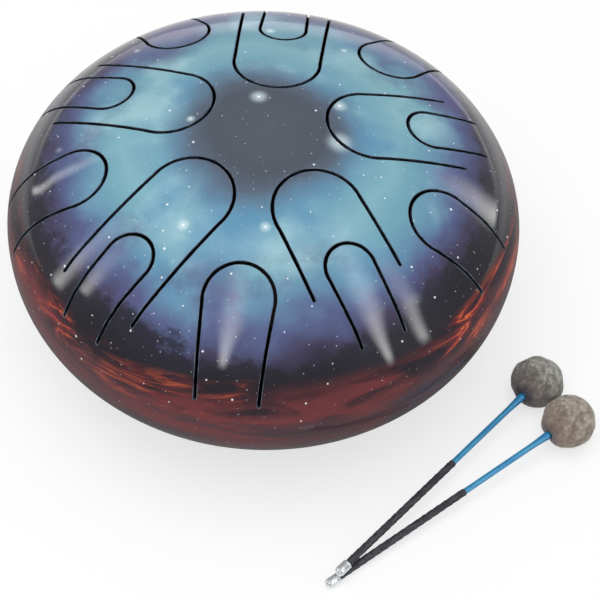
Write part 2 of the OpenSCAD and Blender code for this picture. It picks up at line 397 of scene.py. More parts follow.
    def _plan(self, recipe: Recipe, flat: tuple[Signal, Signal], out: Signal,
              rise: Signal) -> Signal:
        """Return the place on a plan that is unrolled down to the rim, in metres."""
        lean = (out - self.shoulder_c * MM).turn_from(abs(rise))
        run = (out.smaller(self.meeting_r * MM) * self.unroll
               + (lean - self.meeting).larger(0.0) * self.shoulder_r * MM)
        under = rise.step(0.0, -0.0001) * 0.7
        return recipe.node("ShaderNodeCombineXYZ", None,
                           {0: flat[0] / out * run + under, 1: flat[1] / out * run})

    @staticmethod
    def _stars(recipe: Recipe, plan: Signal, swing: Signal, colour: Signal) -> Signal:
        """Spatter pale dots, and give a few of them a soft glow."""
        fade = 1 - swing.step(0.45, 0.58) * 0.8
        clear = 1 - swing.step(0.36, 0.42)
        dust = recipe.specks(plan, 170.0, 0.075, 0.30)
        dots = recipe.specks(recipe.fitted(plan, shift=(0.3, 0.1, 0)), 66.0, 0.055, 0.42)
        spread = recipe.fitted(plan, shift=(0.58, 0.91, 0))
        glow, core = (recipe.specks(spread, 22.0, size, 0.36) for size in (0.22, 0.036))
        for share, tint in ((dust * fade * 0.6, srgb(226, 236, 240)),
                            (dots * fade * 0.95, srgb(246, 250, 252)),
                            (glow * glow * clear * 0.5, srgb(214, 234, 238)),
                            (core * clear, srgb(255, 255, 252))):
            colour = recipe.mix(share, colour, tint)
        return colour


@dataclass(frozen=True)
class PaintedCrestHighlight:
    """Crest of a cut edge, where the lacquer is thin; its pale patches are a painted highlight.
    """

    def make(self) -> bpy.types.Material:
        """Mix the finish."""
        recipe = Recipe("painted_crest_highlight")
        highlight_patches = recipe.clouds(recipe.place(), 150.0, 5.0, 0.65)
        # Painted highlight: pale patches along the crest, over a dark base.
        colour = recipe.mix(highlight_patches.step(0.42, 0.60), srgb(34, 42, 54), srgb(116, 132, 146))
        return recipe.surface({"Base Color": colour, "Roughness": 0.3 + highlight_patches * 0.3,
                               "Coat Weight": 0.6, "Coat Roughness": 0.15})


@dataclass(frozen=True)
class SawnWallAndSlotShade:
    """Sawn wall of a slot and the lower rows of its rounded lip, with a thin run of dark
    lacquer; the dark navy is partly painted shade of the slot.
    """

    def make(self) -> bpy.types.Material:
        """Mix the finish."""
        recipe = Recipe("sawn_wall_and_slot_shade")
        run = recipe.clouds(recipe.fitted(recipe.place(), (1.0, 1.0, 0.2)), 300.0, 4.0, 0.6)
        # Dark navy: the lacquer's colour, darkened further as painted shade so that the slot
        # reads as a dark line.
        colour = recipe.mix(run.step(0.40, 0.62), srgb(20, 26, 38), srgb(52, 62, 76))
        return recipe.surface({"Base Color": colour, "Roughness": 0.45 + run * 0.25}, run,
                              0.05, 0.4)


@dataclass(frozen=True)
class DarkenedSteel:
    """Bare inside of the sheet, browned dark by the heat treatment."""

    def make(self) -> bpy.types.Material:
        """Mix the finish."""
        recipe = Recipe("darkened_steel")
        place = recipe.place()
        scale = recipe.clouds(place, 60.0, 6.0, 0.6)
        colour = recipe.mix(scale.step(0.4, 0.65), srgb(18, 19, 24), srgb(34, 31, 34))
        return recipe.surface({"Base Color": colour, "Metallic": 0.55,
                               "Roughness": 0.5 + scale * 0.25}, scale, 0.05, 0.3)


@dataclass(frozen=True)
class FootRubber:
    """Matte black rubber of the feet."""

    def make(self) -> bpy.types.Material:
        """Mix the finish."""
        recipe = Recipe("foot_rubber")
        grain = recipe.clouds(recipe.place(), 900.0, 3.0)
        dust = recipe.clouds(recipe.place(), 120.0, 4.0)
        colour = recipe.mix(dust.step(0.5, 0.75) * 0.4, srgb(34, 34, 36), srgb(66, 64, 62))
        return recipe.surface({"Base Color": colour, "Roughness": 0.72 + grain * 0.15},
                              grain, 0.05, 0.4)


@dataclass(frozen=True)
class RolledFelt:
    """Hand-rolled wool felt with matted curls, browner near the shaft, with painted shade in its
    creases and round the shaft's entry.
    """

    name: str
    wool: Colour
    light: Colour
    shade: Colour
    warm: Colour
    dimple_dye_and_shade: Colour

    def make(self) -> bpy.types.Material:
        """Mix the finish."""
        recipe = Recipe(self.name)
        place = recipe.workpiece()
        x, y, along = recipe.axes(place)
        mottle = recipe.clouds(place, 0.12, 5.0, 0.6, 0.3)
        curls = recipe.clouds(place, 0.30, 6.0, 0.6, 0.5)
        hairs = recipe.clouds(recipe.fitted(place, (0.6, 1.5, 0.6)), 1.0, 5.0, 0.6, 0.9)
        tufts = recipe.node(
            "ShaderNodeTexVoronoi", {"feature": "DISTANCE_TO_EDGE"},
            {"Vector": place, "Scale": 0.24, "Randomness": 1.0}, output="Distance")
        # Painted shade: the creases between the tufts are darkened with the shade tone.
        crease = (1 - (tufts + (curls - 0.5) * 0.25).step(0.0, 0.09)) * mottle.step(0.4, 0.6)
        lean = along + (mottle - 0.5) * 14.0
        reach = (x * x + y * y) ** 0.5
        # Dark round the shaft's entry: partly dye, partly painted shade of the dimple's hollow.
        dimple_dye_and_shade = (reach + (curls - 0.5) * 7.0).step(11.0, 4.0) * along.step(-8.0, -13.0)
        colour = recipe.mix(mottle.step(0.38, 0.62), self.shade, self.wool)
        for share, tint in ((curls.step(0.48, 0.70) * 0.5, self.light),
                            (curls.step(0.50, 0.32) * 0.5, self.shade),
                            (hairs.step(0.54, 0.70) * 0.36, self.light),
                            (crease * 0.35, self.shade),
                            (lean.step(-1.0, -14.0) * 0.65, self.warm),
                            (dimple_dye_and_shade * 0.9, self.dimple_dye_and_shade)):
            colour = recipe.mix(share, colour, tint)
        return recipe.surface({
            "Base Color": colour, "Roughness": 0.92 + hairs * 0.06,
            "Specular IOR Level": 0.12, "Sheen Weight": 0.25, "Sheen Roughness": 0.6},
            curls + hairs * 0.4, 0.7, 0.8)


@dataclass(frozen=True)
class ShaftEnamel:
    """Smooth sky-blue enamel of the mallet shafts."""

    def make(self) -> bpy.types.Material:
        """Mix the finish."""
        recipe = Recipe("shaft_enamel")
        place = recipe.workpiece()
        tone = recipe.clouds(recipe.fitted(place, (0.3, 0.3, 0.05)), 1.0, 4.0)
        scuff = recipe.clouds(recipe.fitted(place, (2.5, 2.5, 0.12)), 1.0, 5.0, 0.7)
        colour = recipe.mix(tone.step(0.35, 0.68), srgb(34, 122, 172), srgb(56, 146, 190))
        colour = recipe.mix(scuff.step(0.60, 0.74) * 0.35, colour, srgb(120, 178, 212))
        return recipe.surface({"Base Color": colour, "Roughness": 0.28 + scuff * 0.2,
                               "Coat Weight": 0.4, "Coat Roughness": 0.12}, scuff, 0.02, 0.2)


@dataclass(frozen=True)
class GripTape:
    """Thin charcoal rubber tape, wound on with a lap at each turn."""

    pitch: float = 5.6

    def make(self) -> bpy.types.Material:
        """Mix the finish."""
        recipe = Recipe("grip_tape")
        place = recipe.workpiece()
        x, y, z = recipe.axes(place)
        lap = (z / self.pitch - y.turn_from(x) / (2 * math.pi) + 40.0).part()
        grain = recipe.clouds(place, 6.0, 4.0, 0.7)
        rub = recipe.clouds(recipe.fitted(place, (0.5, 0.5, 0.12)), 1.0, 4.0)
        colour = recipe.mix(rub.step(0.42, 0.66), srgb(48, 49, 56), srgb(68, 68, 74))
        colour = recipe.mix(lap.band(0.90, 0.965, 0.985, 1.0) * 0.5, colour, srgb(96, 96, 102))
        colour = recipe.mix((1 - lap.step(0.0, 0.05)) * 0.6, colour, srgb(20, 20, 24))
        return recipe.surface({"Base Color": colour, "Roughness": 0.55 + grain * 0.25},
                              grain, 0.08, 0.5)


@dataclass(frozen=True)
class PolishedCap:
    """Bright plated steel of the handle's end caps."""

    def make(self) -> bpy.types.Material:
        """Mix the finish."""
        recipe = Recipe("polished_cap")
        place = recipe.workpiece()
        smear = recipe.clouds(recipe.fitted(place, (0.5, 0.5, 0.5)), 1.0, 4.0, 0.5)
        colour = recipe.mix(smear.step(0.4, 0.65), srgb(214, 219, 221), srgb(234, 237, 238))
        return recipe.surface({"Base Color": colour, "Metallic": 0.55,
                               "Roughness": 0.20 + smear * 0.08, "Coat Weight": 0.5,
                               "Coat Roughness": 0.12}, smear, 0.04, 0.1)


@dataclass(frozen=True)
class CoreRubber:
    """Dark rubber ball inside the felt."""

    def make(self) -> bpy.types.Material:
        """Mix the finish."""
        recipe = Recipe("core_rubber")
        grain = recipe.clouds(recipe.place(), 500.0, 4.0)
        colour = recipe.mix(grain, srgb(36, 32, 30), srgb(58, 52, 48))
        return recipe.surface({"Base Color": colour, "Roughness": 0.7 + grain * 0.2},
                              grain, 0.05, 0.3)


# ---------------------------------------------------------------- sheet metal

class Coat(Enum):
    """Faces of a cut sheet that have a finish of their own, in the order of its slots."""

    OUTSIDE = 0
    CREST = 1
    WALL = 2
    INSIDE = 3


Coats = dict[Coat, bpy.types.Material]


@dataclass(frozen=True)
class DomedSheet:
    """Pressed steel shell: a flat dome whose edge runs into a round shoulder.

    A place on it is given in its unrolled plan: the distance from the axis along the
    outside, in the direction of its azimuth.
    """

    drum_r: float
    dome_r: float
    shoulder_r: float
    edge_z: float
    facing: int = 1
    thickness: float = 2.0

    @property
    def shoulder_c(self) -> float:
        """Distance of the shoulder's centre line from the axis."""
        return self.drum_r - self.shoulder_r

    @property
    def meeting(self) -> float:
        """Angle from the axis at which the dome meets the shoulder, in radians."""
        return math.asin(self.shoulder_c / (self.dome_r - self.shoulder_r))

    @property
    def drop(self) -> float:
        """Depth of the dome's centre under the edge."""
        return math.cos(self.meeting) * (self.dome_r - self.shoulder_r)

    def run_at_angle(self, angle: float) -> float:
        """Return the distance along the outside at which it slopes by an angle."""
        if angle <= self.meeting:
            return self.dome_r * angle
        return self.dome_r * self.meeting + self.shoulder_r * (angle - self.meeting)

    def run_at_radius(self, radius: float) -> float:
        """Return the distance along the outside at a distance from the axis."""
        if radius <= self.dome_r * math.sin(self.meeting):
            return self.dome_r * math.asin(radius / self.dome_r)
        return self.run_at_angle(math.asin((radius - self.shoulder_c) / self.shoulder_r))

    def place(self, plan: Vector, depth: float = 0.0) -> tuple[Vector, Vector]:
        """Find a point of the sheet.

        Args:
            plan: the place in the unrolled plan.
            depth: depth under the outside.

        Returns:
            The point, and the outward direction there.
        """
        run = plan.length
        blend_run = self.dome_r * self.meeting
        if run <= blend_run:
            angle, ball_r, ball_x, ball_h = run / self.dome_r, self.dome_r, 0.0, -self.drop
        else:
            angle = self.meeting + (run - blend_run) / self.shoulder_r
            ball_r, ball_x, ball_h = self.shoulder_r, self.shoulder_c, 0.0
        side, up = math.sin(angle), math.cos(angle)
        radius = ball_x + (ball_r - depth) * side
        height = ball_h + (ball_r - depth) * up
        east, north = (plan.x / run, plan.y / run) if run > 1e-9 else (1.0, 0.0)
        point = Vector((radius * east, radius * north, self.edge_z + self.facing * height))
        return point, Vector((side * east, side * north, self.facing * up))

    def ring(self, radius: float, count: int, lip: float = 0.0) -> list["EdgePoint"]:
        """Return a round edge about the axis, with a rounded lip where lip isn't 0."""
        wall, crest = self.run_at_radius(radius), self.run_at_radius(radius + lip)
        turns = [2 * math.pi * step / count for step in range(count)]
        return [EdgePoint(Vector((crest * math.cos(turn), crest * math.sin(turn))),
                          Vector((wall * math.cos(turn), wall * math.sin(turn))))
                for turn in turns]

    def hole(self, away: float, azimuth: float, radius: float, count: int) -> list["EdgePoint"]:
        """Return a small round hole's edge, away from the axis at an azimuth in degrees."""
        points = []
        for step in range(count):
            turn = 2 * math.pi * step / count
            flat = Vector((away + radius * math.cos(turn), radius * math.sin(turn)))
            flat.rotate(Matrix.Rotation(math.radians(azimuth), 2))
            plan = flat.normalized() * self.run_at_radius(flat.length)
            points.append(EdgePoint(plan, plan))
        return points


@dataclass(frozen=True)
class EdgePoint:
    """A point of a panel's edge in the unrolled plan.

    crest is where the flat skin ends, wall is where the cut stands, and root tells that
    the point is on a line where a tongue bends, which isn't cut through.
    """

    crest: Vector
    wall: Vector
    root: bool = False

    def turned(self, degrees: float, mirrored: bool = False) -> "EdgePoint":
        """Return the point mirrored over the plan's X axis, if asked, and then turned."""
        flip = Matrix(((1, 0), (0, -1))) if mirrored else Matrix.Identity(2)
        spin = Matrix.Rotation(math.radians(degrees), 2) @ flip
        return EdgePoint(spin @ self.crest, spin @ self.wall, self.root)


@dataclass(frozen=True)
class TongueCut:
    """Cut outline of one tongue: a round tip and two straight legs.

    Its own plan has the tongue along +X, so the outline's two halves mirror each other.
    """

    sheet: DomedSheet
    turn: float
    tip_u: float
    tip_r: float
    root_u: float
    root_half: float
    line_u: float
    end_h: float | None = None
    slot_w: float = 1.8
    lip: float = 0.4
    leg_share: float = 0.995
    over: float = 2.0
    root_gap: float = 0.1
    hair_gap: float = 0.02
    pitch: float = 2.6

    @property
    def tip_c(self) -> float:
        """Distance of the tip's centre from the axis."""
        return self.tip_u + self.tip_r

    @property
    def line_end(self) -> float:
        """Distance at which the straight leg's line is given."""
        return self.root_u if self.end_h is None else self.sheet.drum_r + self.over

    def grow(self, side: int, lip: bool) -> float:
        """Return an edge's distance from the slot's middle line.

        Args:
            side: 1 outside the slot, -1 on the tongue's side.
            lip: whether the skin's crest is meant, and not the wall.
        """
        return side * (self.slot_w / 2 + (self.lip if lip else 0.0))

    def _line(self, grow: float) -> tuple[float, float]:
        """Return the leg's half width beside the tip's centre, and its slope."""
        start = self.leg_share * (self.tip_r + grow)
        widening = (self.root_half - self.tip_r) / (self.root_u - self.tip_c)
        end = self.tip_r + widening * (self.line_end - self.tip_c) + grow
        return start, (end - start) / (self.line_end - self.tip_c)

    def half_at(self, u: float, grow: float) -> float:
        """Return the leg's half width at a place."""
        start, slope = self._line(grow)
        return start + slope * (u - self.tip_c)

    def _join(self, grow: float) -> float:
        """Return how far past the tip's centre the round runs into the leg."""
        start, slope = self._line(grow)
        square = 1 + slope * slope
        rest = start * start - (self.tip_r + grow) ** 2
        return (math.sqrt((start * slope) ** 2 - square * rest) - start * slope) / square

    def _plan(self, u: float, v: float) -> Vector:
        """Unroll a place given in the drum's top view."""
        return Vector((u, v)).normalized() * self.sheet.run_at_radius(math.hypot(u, v))

    @property
    def cap_u(self) -> float:
        """Place where the round end of the slot starts."""
        if self.end_h is None:
            return self.root_u - self.slot_w / 2
        slope = math.acos(self.end_h / self.sheet.shoulder_r)
        goal = self.sheet.run_at_angle(slope) - self.slot_w / 2
        low, high = self.line_u, self.sheet.drum_r - 1.0
        for _ in range(40):
            middle = (low + high) / 2
            short = self._plan(middle, self.half_at(middle, 0.0)).length < goal
            low, high = (middle, high) if short else (low, middle)
        return low

    def _leg(self, side: int, start: float | None, end: float | None) -> list[EdgePoint]:
        """Return points along a leg; None for an end is the joint with the tip."""
        reach = [(self.tip_c + self._join(self.grow(side, lip)) if start is None else start,
                  self.tip_c + self._join(self.grow(side, lip)) if end is None else end)
                 for lip in (True, False)]
        middle = [self._plan(u, self.half_at(u, 0.0)) for u in reach[1]]
        count = max(1, round((middle[1] - middle[0]).length / self.pitch))
        points = []
        for step in range(count + 1):
            share = step / count
            crest_u, wall_u = (low + (high - low) * share for low, high in reach)
            points.append(EdgePoint(
                self._plan(crest_u, self.half_at(crest_u, self.grow(side, True))),
                self._plan(wall_u, self.half_at(wall_u, self.grow(side, False)))))
        return points

    def _tip(self, side: int) -> list[EdgePoint]:
        """Return points round half the tip, from the middle to the leg."""
        count = max(8, round(math.pi * self.tip_r / 2 / self.pitch * 1.6))
        rounds = [(self.tip_r + self.grow(side, lip), self._join(self.grow(side, lip)))
                  for lip in (True, False)]
        points = []
        for step in range(count):
            places = []
            for radius, join in rounds:
                last = math.acos(join / radius)
                angle = math.pi + (last - math.pi) * step / count
                places.append(self._plan(self.tip_c + radius * math.cos(angle),
                                         radius * math.sin(angle)))
            points.append(EdgePoint(*places))
        return points

    def _cap(self) -> list[EdgePoint]:
        """Return points round the slot's end, from outside to the tongue's side."""
        count = 7
        u = self.cap_u
        ends = [[self._plan(u, self.half_at(u, self.grow(side, lip))) for side in (1, -1)]
                for lip in (True, False)]
        ahead = self._plan(u + 0.2, self.half_at(u + 0.2, 0)) - self._plan(u, self.half_at(u, 0))
        points = []
        for step in range(1, count):
            angle = math.pi * step / count
            places = []
            for outer, inner in ends:
                half = (outer - inner) / 2
                onward = ahead.normalized() * half.length
                places.append((outer + inner) / 2 + half * math.cos(angle)
                              + onward * math.sin(angle))
            points.append(EdgePoint(*places))
        return points

    def root_line(self, high_v: float, low_v: float) -> list[EdgePoint]:
        """Return points on the root line after high_v, with low_v where that is 0."""
        count = max(1, round((high_v - low_v) / self.pitch))
        steps = range(1, count + 1 if low_v == 0 else count)
        places = [self._plan(self.line_u, high_v + (low_v - high_v) * step / count)
                  for step in steps]
        return [EdgePoint(place, place, True) for place in places]

    def _corner(self, points: list[EdgePoint]) -> list[EdgePoint]:
        """Mark the last point of a run as a corner on the root line."""
        return points[:-1] + [EdgePoint(points[-1].crest, points[-1].wall, True)]

    def _close(self, half: list[EdgePoint]) -> list[EdgePoint]:
        """Mirror half an outline, close it and turn it to its place on the drum."""
        mirrored = [point.turned(self.turn, True) for point in reversed(half[1:-1])]
        return [point.turned(self.turn) for point in half] + mirrored

    def tongue_outline(self, notch: "TongueCut | None" = None) -> list[EdgePoint]:
        """Return the outline of the tongue itself, less the notch of a nested one."""
        half = self._tip(-1) + self._corner(self._leg(-1, None, self.line_u))
        corner_v = self.half_at(self.line_u, self.grow(-1, True))
        if notch is None:
            half += self.root_line(corner_v, 0.0)
        else:
            half += self.root_line(corner_v, notch.half_at(self.line_u, notch.grow(1, True)))
            inner = list(reversed(notch._leg(1, None, self.line_u)))
            half += [EdgePoint(inner[0].crest, inner[0].wall, True)] + inner[1:]
            half += reversed(notch._tip(1))
        hair, gap = (Vector((-width, 0.0)) for width in (self.hair_gap, self.root_gap))
        half = [EdgePoint(point.crest + hair, point.wall + gap, True) if point.root
                else point for point in half]
        return self._close(half)

    def hole_outline(self, nested: "TongueCut | None" = None) -> list[EdgePoint]:
        """Return the edge that the tongue, its slot and a nested one leave in the shell."""
        half = (self._tip(1) + self._leg(1, None, self.cap_u) + self._cap()
                + self._leg(-1, self.cap_u, self.line_u))
        corner_v = self.half_at(self.line_u, self.grow(-1, True))
        if nested is None:
            half += self.root_line(corner_v, 0.0)
        else:
            half += self.root_line(corner_v, nested.half_at(self.line_u, nested.grow(1, True)))
            half += (nested._leg(1, self.line_u, nested.cap_u) + nested._cap()
                     + nested._leg(-1, nested.cap_u, nested.line_u))
            half += nested.root_line(nested.half_at(nested.line_u, nested.grow(-1, True)), 0.0)
        return self._close(half)


@dataclass
class SheetPanel:
    """One piece of shell sheet: laid out flat, cut, curved, and rounded at its slots."""

    sheet: DomedSheet
    outlines: list[list[EdgePoint]]
    pitch: float = 4.2
    clear_share: float = 0.6
    lip: float = 0.4
    lip_steps: int = 3

    def _spread(self) -> list[Vector]:
        """Return evenly spread points of the flat sheet, clear of every edge."""
        crests = [point.crest for outline in self.outlines for point in outline]
        near = KDTree(len(crests))
        for index, crest in enumerate(crests):
            near.insert(crest.to_3d(), index)
        near.balance()
        reach = max(crest.length for crest in crests)
        low = [min(crest[axis] for crest in crests) for axis in (0, 1)]
        high = [max(crest[axis] for crest in crests) for axis in (0, 1)]
        row_gap = self.pitch * math.sqrt(3) / 2
        points = []
        for row in range(int((high[1] - low[1]) / row_gap) + 1):
            shift = self.pitch / 2 * (row % 2)
            for column in range(int((high[0] - low[0]) / self.pitch) + 1):
                spot = Vector((low[0] + shift + column * self.pitch, low[1] + row * row_gap))
                clear = near.find(spot.to_3d())[2] > self.clear_share * self.pitch
                if clear and spot.length < reach:
                    points.append(spot)
        return points

    def _cut_flat(self) -> tuple[list[EdgePoint], list[list[int]]]:
        """Cut the flat sheet along its outlines.

        Returns:
            All points, and the triangles of the piece inside the first outline and
            outside the others.
        """
        points: list[EdgePoint] = []
        cuts: list[tuple[int, int]] = []
        for outline in self.outlines:
            first, count = len(points), len(outline)
            points += outline
            cuts += [(first + step, first + (step + 1) % count) for step in range(count)]
        points += [EdgePoint(spot, spot) for spot in self._spread()]
        _, _, faces, origins, _, _ = delaunay_2d_cdt(
            [point.crest for point in points], cuts, [], 1, 1e-5)
        triangles = [[origins[corner][0] for corner in face] for face in faces]
        sides: dict[frozenset[int], list[int]] = defaultdict(list)
        for index, face in enumerate(triangles):
            for pair in zip(face, face[1:] + face[:1]):
                sides[frozenset(pair)].append(index)
        walls = {frozenset(cut) for cut in cuts}
        kept, waiting = set(), list(sides[frozenset(cuts[0])])
        while waiting:
            index = waiting.pop()
            if index in kept:
                continue
            kept.add(index)
            face = triangles[index]
            for pair in zip(face, face[1:] + face[:1]):
                if frozenset(pair) not in walls:
                    waiting += sides[frozenset(pair)]
        return points, [triangles[index] for index in sorted(kept)]

    def _settle(self, crest: Vector, wall: Vector, step: int) -> tuple[Vector, Vector, Vector]:
        """Curve one point into place.

        Args:
            crest, wall: its places in the unrolled plan.
            step: 0 on the skin, then down the rounded lip, and last the inside.

        Returns:
            The point, the direction that its lip or skin faces, and the direction that
            the cut wall faces.
        """
        crest_at, out = self.sheet.place(crest)
        across = self.sheet.place(wall)[0] - crest_at
        across = across.normalized() if across.length > 1e-4 else Vector((0, 0, 0))
        if step > self.lip_steps:
            return self.sheet.place(wall, self.sheet.thickness)[0], -out, across
        roll = math.pi / 2 * step / self.lip_steps
        plan = crest + (wall - crest) * math.sin(roll)
        point, _ = self.sheet.place(plan, self.lip * (1 - math.cos(roll)))
        return point, out * math.cos(roll) + across * math.sin(roll), across

    def build(self, name: str, coats: Coats) -> bpy.types.Object:
        """Make the piece.

        Args:
            name: the object's name.
            coats: the finish of each of its faces.

        Returns:
            The finished object, closed all round.
        """
        points, triangles = self._cut_flat()
        bm = bmesh.new()
        crest = bm.verts.layers.float_vector.new("crest")
        wall = bm.verts.layers.float_vector.new("wall")
        level = bm.verts.layers.float.new("level")
        laid: dict[int, bmesh.types.BMVert] = {}
        for index in sorted({corner for face in triangles for corner in face}):
            vert = laid[index] = bm.verts.new(points[index].crest.to_3d())
            vert[crest], vert[wall] = points[index].crest.to_3d(), points[index].wall.to_3d()
            vert[level] = 1.0
        for face in triangles:
            bm.faces.new([laid[corner] for corner in face])
        lifted = bmesh.ops.extrude_face_region(bm, geom=bm.faces[:], use_keep_orig=True)
        for item in lifted["geom"]:
            if isinstance(item, bmesh.types.BMVert):
                item[level] = 0.0
        sides = [edge for edge in bm.edges if edge.verts[0][level] != edge.verts[1][level]]
        bmesh.ops.subdivide_edges(bm, edges=sides, cuts=self.lip_steps, use_grid_fill=True)
        steps: dict[bmesh.types.BMVert, int] = {}
        facings: dict[bmesh.types.BMVert, tuple[Vector, Vector]] = {}
        for vert in bm.verts:
            steps[vert] = round(vert[level] * (self.lip_steps + 1))
            point, out, across = self._settle(vert[crest].to_2d(), vert[wall].to_2d(),
                                              steps[vert])
            vert.co = point * MM
            facings[vert] = out, across
        bmesh.ops.recalc_face_normals(bm, faces=bm.faces)
        bm.normal_update()
        mesh = bpy.data.meshes.new(name)
        normals = []
        for face in bm.faces:
            deep, high = (pick(steps[vert] for vert in face.verts) for pick in (max, min))
            cut = high <= self.lip_steps < deep
            sawn = max((vert[wall] - vert[crest]).length for vert in face.verts) > self.lip / 2
            coat = Coat.INSIDE if high > self.lip_steps else Coat(min(deep, 2) * sawn)
            face.material_index = coat.value
            for vert in face.verts:
                facing = facings[vert][1] if cut else facings[vert][0]
                normals.append(facing if facing.length > 0.5 else face.normal.copy())
        for layer in (bm.verts.layers.float_vector, bm.verts.layers.float):
            for spare in list(layer.values()):
                layer.remove(spare)
        bm.to_mesh(mesh)
        bm.free()
        for coat in Coat:
            mesh.materials.append(coats[coat])
        mesh.shade_smooth()
        mesh.normals_split_custom_set(normals)
        return shown(name, mesh)


# ---------------------------------------------------------------- shop helpers

def shown(name: str, mesh: bpy.types.Mesh) -> bpy.types.Object:
    """Put a finished mesh in the scene, at the origin."""
    piece = bpy.data.objects.new(name, mesh)
    bpy.context.scene.collection.objects.link(piece)
    return piece


def turned(profile: Sequence[tuple[float, float]], steps: int,
           ring: bool = False) -> bmesh.types.BMesh:
    """Turn a half section about Z, as on a lathe.

    Args:
        profile: distances from the axis and heights.
        steps: facets round the axis.
        ring: whether the section closes on itself, clear of the axis.

    Returns:
        The closed body.
    """
    bm = bmesh.new()
    line = [bm.verts.new((radius, 0.0, height)) for radius, height in profile]
    pairs = list(zip(line, line[1:])) + ([(line[-1], line[0])] if ring else [])
    edges = [bm.edges.new(pair) for pair in pairs]
    bmesh.ops.spin(bm, geom=line + edges, cent=(0, 0, 0), axis=(0, 0, 1),
                   angle=2 * math.pi, steps=steps, use_merge=True)
    bmesh.ops.remove_doubles(bm, verts=bm.verts, dist=1e-4)
    bmesh.ops.recalc_face_normals(bm, faces=bm.faces)
    return bm


def arc(centre: tuple[float, float], radius: float, start: float, end: float,
        count: int) -> list[tuple[float, float]]:
    """Return points on an arc of a half section, angles in degrees from the axis' right."""
    angles = [math.radians(start + (end - start) * step / count) for step in range(count + 1)]
    return [(centre[0] + radius * math.cos(angle), centre[1] + radius * math.sin(angle))
            for angle in angles]


def run(start: tuple[float, float], end: tuple[float, float],
        count: int) -> list[tuple[float, float]]:
    """Return points along a straight part of a half section, without its first."""
    return [(start[0] + (end[0] - start[0]) * step / count,
             start[1] + (end[1] - start[1]) * step / count) for step in range(1, count + 1)]


def laid_down(bm: bmesh.types.BMesh, name: str, coat: bpy.types.Material,
              place: Matrix | None = None, crease: float = 38.0,
              shape: Callable[[Vector], Vector] | None = None) -> bpy.types.Object:
    """Finish a body made at the bench and lay it where it belongs.

    Args:
        bm: the body in millimetres, in its own frame.
        name: the object's name.
        coat: its finish.
        place: where it lies on the object, in millimetres.
        crease: least angle in degrees of an edge that stays sharp.
        shape: a last correction of each laid point.

    Returns:
        The finished object, which keeps its bench frame in an attribute.
    """
    mesh = bpy.data.meshes.new(name)
    bench = [coordinate for vert in bm.verts for coordinate in vert.co]
    if place is not None:
        bmesh.ops.transform(bm, matrix=place, verts=bm.verts)
    if shape is not None:
        for vert in bm.verts:
            vert.co = shape(vert.co)
    bmesh.ops.scale(bm, vec=(MM, MM, MM), verts=bm.verts)
    bm.to_mesh(mesh)
    bm.free()
    mesh.attributes.new("workpiece", "FLOAT_VECTOR", "POINT").data.foreach_set("vector", bench)
    mesh.materials.append(coat)
    mesh.shade_smooth()
    mesh.set_sharp_from_angle(angle=math.radians(crease))
    return shown(name, mesh)


def settle(piece: bpy.types.Object, body: str, slot: str, *nodes: str) -> bpy.types.Object:
    """Let a piece ride on its body and stand for its nodes, and report it."""
    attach(piece, body)
    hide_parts(*nodes)
    log.info("%s: %d faces on %s", piece.name, len(piece.data.polygons), body)
    return piece


# ---------------------------------------------------------------- the drum

class Tongue(Enum):
    """Kinds of tongue, by the names of their nodes."""

    LONG = "long"
    NESTED = "nested"
    OUTER = "outer"


@dataclass(frozen=True)
class TonguePattern:
    """The fifteen tongues: five long ones, one nested in each, and five outer ones."""

    sheet: DomedSheet
    turn: float = -6.4
    run_on: float = 1.8
    long_tips: tuple[float, ...] = (0.232, 0.234, 0.233, 0.238, 0.241)
    long_roots: tuple[float, ...] = (0.696, 0.740, 0.821, 0.829, 0.870)
    nested_tips: tuple[float, ...] = (0.549, 0.549, 0.570, 0.577, 0.621)
    nested_roots: tuple[float, ...] = (0.893, 0.851, 0.946, 0.946, 0.961)
    outer_tips: tuple[float, ...] = (0.572, 0.598, 0.591, 0.626, 0.603)
    outer_ends: tuple[float, ...] = (0.31, 0.51, 0.32, 0.32, 0.25)
    outer_width: float = 0.975
    long_trims: tuple[float, ...] = (0.0, 0.0, 1.8, 0.0, 0.0)

    def _between(self, index: int, tip: float, root: float, tip_r: float,
                 root_half: float) -> TongueCut:
        """Return the cut of a long or nested tongue."""
        root_u = root * self.sheet.drum_r
        turn = self.turn + 72 * index + 36 - 90 + self.long_trims[index]
        return TongueCut(self.sheet, turn, tip * self.sheet.drum_r, tip_r, root_u,
                         root_half, root_u - self.run_on)

    def long(self, index: int) -> TongueCut:
        """Return a long tongue's cut."""
        return self._between(index, self.long_tips[index], self.long_roots[index], 27.6, 29.2)

    def nested(self, index: int) -> TongueCut:
        """Return a nested tongue's cut."""
        return self._between(index, self.nested_tips[index], self.nested_roots[index],
                             15.3, 14.4)

    def outer(self, index: int, tip_r: float = 21.4, root_half: float = 18.8,
              slot_w: float = 1.8) -> TongueCut:
        """Return an outer tongue's cut, whose slots run down the shoulder."""
        sheet = self.sheet
        end_h = self.outer_ends[index] * sheet.shoulder_r
        inner = sheet.shoulder_c + math.sqrt(
            (sheet.shoulder_r - sheet.thickness) ** 2 - end_h ** 2)
        line_u = math.sqrt(inner ** 2 - (root_half + slot_w) ** 2) - self.run_on / 2
        return TongueCut(sheet, self.turn + 72 * index - 90,
                         self.outer_tips[index] * sheet.drum_r, tip_r,
                         self.outer_width * sheet.drum_r, root_half, line_u, end_h)


